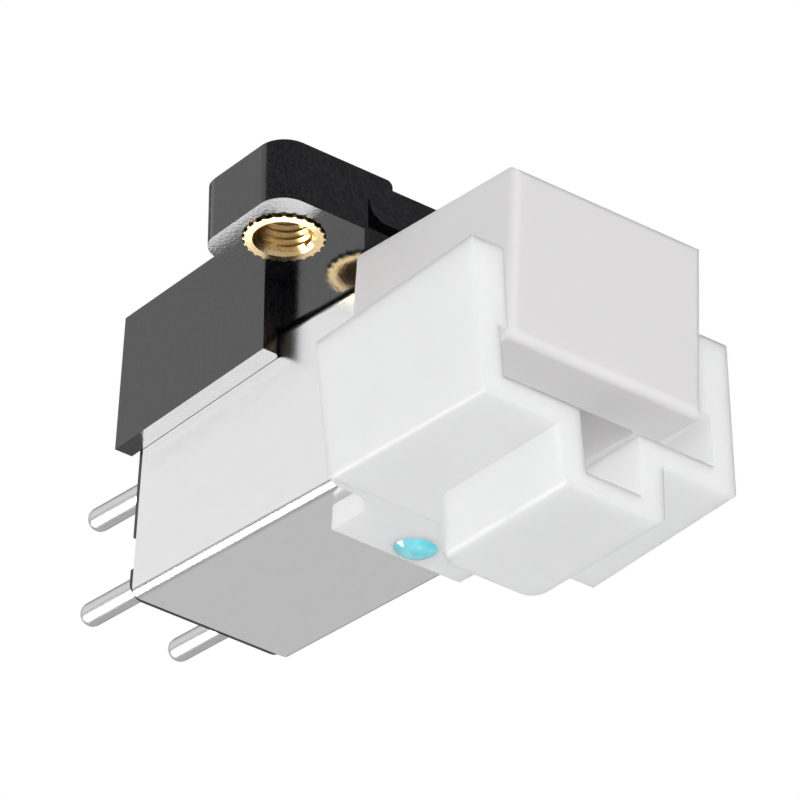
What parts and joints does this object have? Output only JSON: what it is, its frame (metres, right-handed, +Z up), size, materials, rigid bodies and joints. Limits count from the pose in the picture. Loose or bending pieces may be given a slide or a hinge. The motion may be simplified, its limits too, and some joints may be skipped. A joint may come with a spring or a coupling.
{
  "type": "turntable stylus cartridge",
  "caption": "Moving magnet cartridge for a turntable arm: mounting bracket with threaded ears, metal shield case, pull-out stylus, rear terminal pins and a lift-off stylus guard.",
  "frame": {"origin": "on the mounting face, midway between the axes of the two fixing screws", "axes": "+Z is up, out of the mounting face towards the headshell; -Y is the front, where the stylus is; +X is the right channel side"},
  "size_m": [0.0172, 0.0322, 0.0195],
  "materials": {
    "black_plastic": "satin moulded",
    "brass": "turned and knurled",
    "shield_metal": "fine brushed, lightly lacquered",
    "terminal_plastic": "satin moulded",
    "pin_plating": "bright plated",
    "coil_plastic": "natural moulded",
    "copper_wire": "enamelled copper wire",
    "core_iron": "bare laminated alloy",
    "holder_plastic": "semi-gloss moulded",
    "sleeve_metal": "turned",
    "damper_rubber": "soft butyl",
    "wire_steel": "drawn",
    "cantilever_metal": "drawn tube",
    "diamond": "polished",
    "magnet_alloy": "sintered",
    "guard_plastic": "milky translucent moulded",
    "dot_lacquer": "drop of lacquer"
  },
  "bodies": {
    "cartridge_body": {"mounting_bracket": "black_plastic", "threaded_insert_left": "brass", "threaded_insert_right": "brass", "shield_case": "shield_metal", "terminal_block": "terminal_plastic", "terminal_pin_left_signal": "pin_plating", "terminal_pin_left_return": "pin_plating", "terminal_pin_right_signal": "pin_plating", "terminal_pin_right_return": "pin_plating", "coil_carrier": "coil_plastic", "coil_bobbin_left": "coil_plastic", "coil_bobbin_right": "coil_plastic", "coil_winding_left": "copper_wire", "coil_winding_right": "copper_wire", "pole_core_left": "core_iron", "pole_core_right": "core_iron", "channel_shield": "shield_metal"},
    "stylus": {"stylus_holder": "holder_plastic", "stylus_sleeve": "sleeve_metal", "wire_anchor": "brass", "damper_ring": "damper_rubber", "suspension_wire": "wire_steel"},
    "cantilever_arm": {"cantilever": "cantilever_metal", "stylus_tip": "diamond", "magnet_collar": "sleeve_metal", "magnet_left": "magnet_alloy", "magnet_right": "magnet_alloy"},
    "guard": {"stylus_guard": "guard_plastic", "colour_dot": "dot_lacquer"}
  },
  "joints": [
    {"name": "stylus_pull", "type": "slide", "parent": "cartridge_body", "child": "stylus", "axis": [0, -0.9972, -0.075], "range_m": [0, 0.01]},
    {"name": "guard_off", "type": "slide", "parent": "stylus", "child": "guard", "axis": [0, 0, -1], "range_m": [0, 0.012]},
    {"name": "cantilever_flex", "type": "hinge", "parent": "stylus", "child": "cantilever_arm", "pos_m": [0, -0.00231, -0.01201], "axis": [1, 0, 0], "range_deg": [-2, 2], "stiffness_Nm_per_rad": 0.006}
  ]
}
